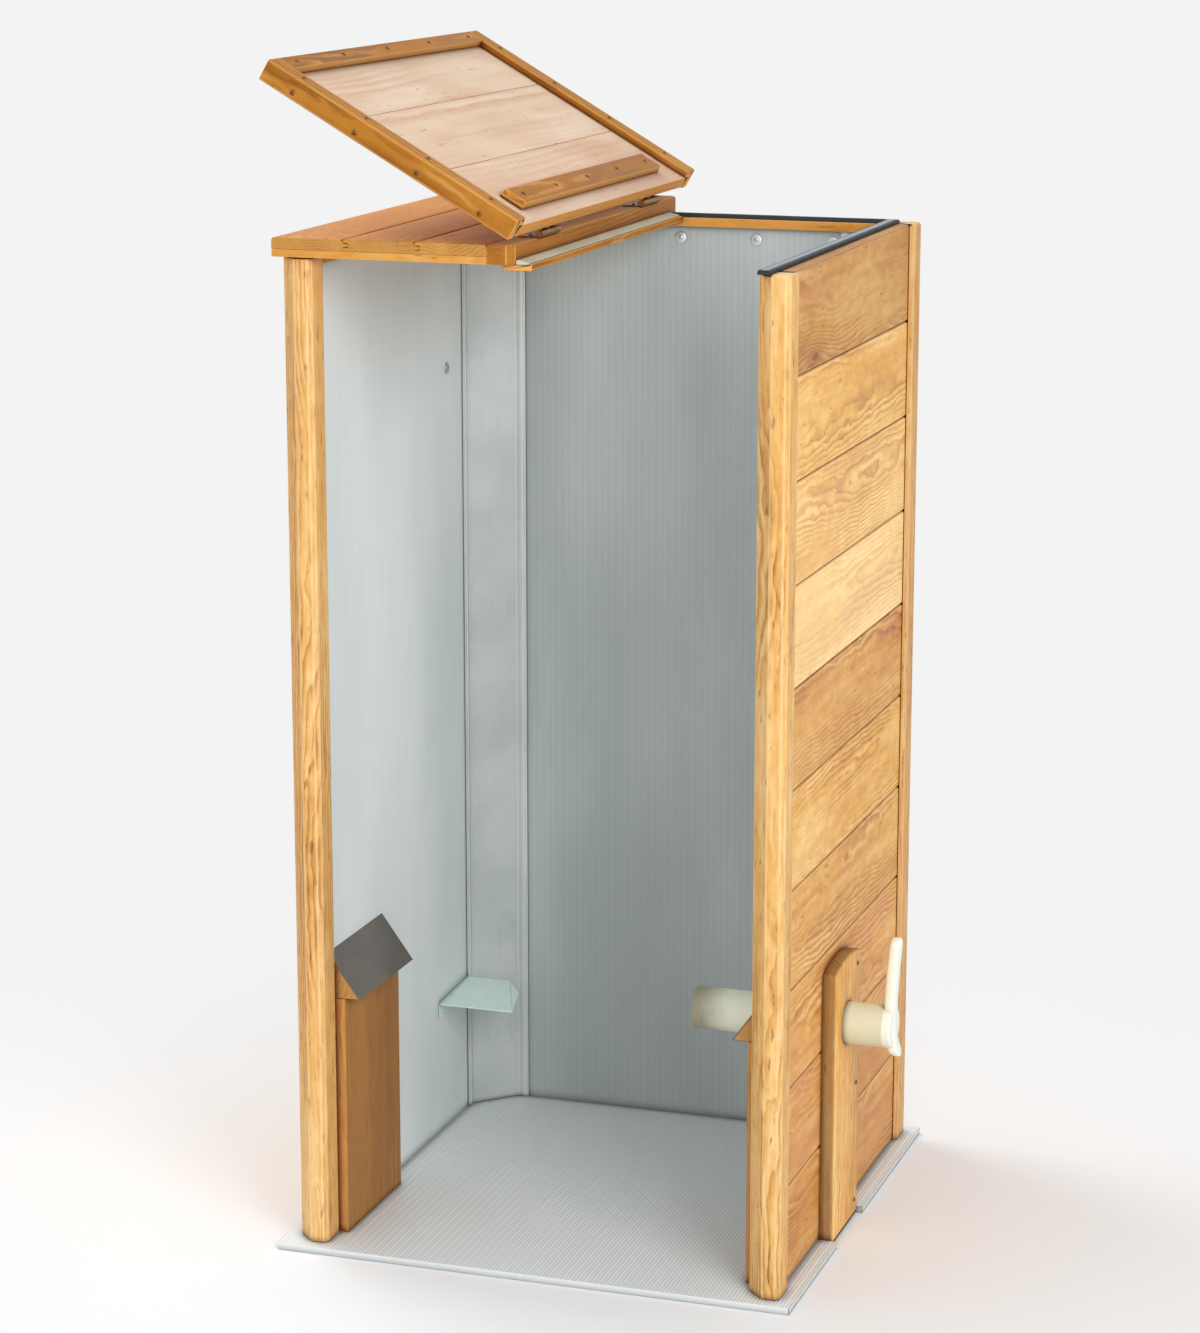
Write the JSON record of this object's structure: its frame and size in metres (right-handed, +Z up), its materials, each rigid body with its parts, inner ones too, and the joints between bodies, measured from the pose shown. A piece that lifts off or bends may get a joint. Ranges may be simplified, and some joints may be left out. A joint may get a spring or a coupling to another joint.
{
  "type": "wooden compost bin",
  "caption": "Tall square compost bin of tongue-and-groove boards between posts, lined inside, open at the front, with a hinged lid and a turning air tube.",
  "frame": {"origin": "centre of the underside of the base sheet, on the ground", "axes": "+X across the front towards the wall with the lever, +Y from the open front to the back, +Z up"},
  "size_m": [0.8565, 0.815, 1.7328],
  "materials": {
    "honey_wood": "oiled",
    "amber_wood": "stained",
    "pale_wood": "planed, bare",
    "duct_wood": "plain",
    "base_sheet": "fluted sheet",
    "lining": "fluted sheet",
    "corner_profile": "satin",
    "seal": "matt",
    "ledge_seal": "matt",
    "cap_sheet": "satin",
    "deflector": "satin",
    "tube": "satin",
    "lever": "satin",
    "hinge_steel": "zinc plated",
    "screws": "zinc plated"
  },
  "bodies": {
    "bin": {"base_sheet": "base_sheet", "post_front_left": "honey_wood", "post_front_right": "honey_wood", "post_back_left": "honey_wood", "post_back_right": "honey_wood", "plank_right_1": "honey_wood", "plank_right_2": "honey_wood", "plank_right_3": "honey_wood", "plank_right_4": "honey_wood", "plank_right_5": "honey_wood", "plank_right_6": "honey_wood", "plank_right_7": "honey_wood", "plank_right_8": "honey_wood", "plank_right_9": "honey_wood", "plank_right_10": "honey_wood", "planks_left": "honey_wood", "planks_back": "honey_wood", "lining_left": "lining", "lining_right": "lining", "lining_back": "lining", "corner_profile_left": "corner_profile", "corner_profile_right": "corner_profile", "top_rail_left": "amber_wood", "top_rail_right": "amber_wood", "top_rail_back": "amber_wood", "wall_seal": "seal", "roof_board_1": "honey_wood", "roof_board_2": "honey_wood", "roof_board_3": "honey_wood", "roof_battens": "honey_wood", "hinge_beam": "amber_wood", "seal_ledge": "amber_wood", "ledge_seal": "ledge_seal", "hinge_leaves_roof": "hinge_steel", "hinge_pins": "hinge_steel", "hinge_screws_roof": "screws", "duct_left": "duct_wood", "duct_right": "duct_wood", "duct_cap_left": "duct_wood", "duct_cap_right": "duct_wood", "duct_sheet_left": "cap_sheet", "duct_sheet_right": "cap_sheet", "corner_deflector": "deflector", "cover_board": "honey_wood", "tube_bush": "tube", "lining_screws": "screws", "cover_screws": "screws"},
    "lid": {"lid_board_1": "pale_wood", "lid_board_2": "pale_wood", "lid_board_3": "pale_wood", "lid_rail_front": "amber_wood", "lid_rail_back": "amber_wood", "lid_far_batten": "amber_wood", "lid_near_batten": "amber_wood", "lid_screws": "screws", "hinge_leaves_lid": "hinge_steel", "hinge_screws_lid": "screws"},
    "tube": {"air_tube": "tube", "lever": "lever"}
  },
  "joints": [
    {"name": "lid_hinge", "type": "hinge", "parent": "bin", "child": "lid", "pos_m": [-0.018, 0, 1.4924], "axis": [0, 1, 0], "range_deg": [0, 150]},
    {"name": "tube_turn", "type": "hinge", "parent": "bin", "child": "tube", "pos_m": [0.382, -0.052, 0.325], "axis": [1, 0, 0], "range_deg": [-90, 90]}
  ]
}
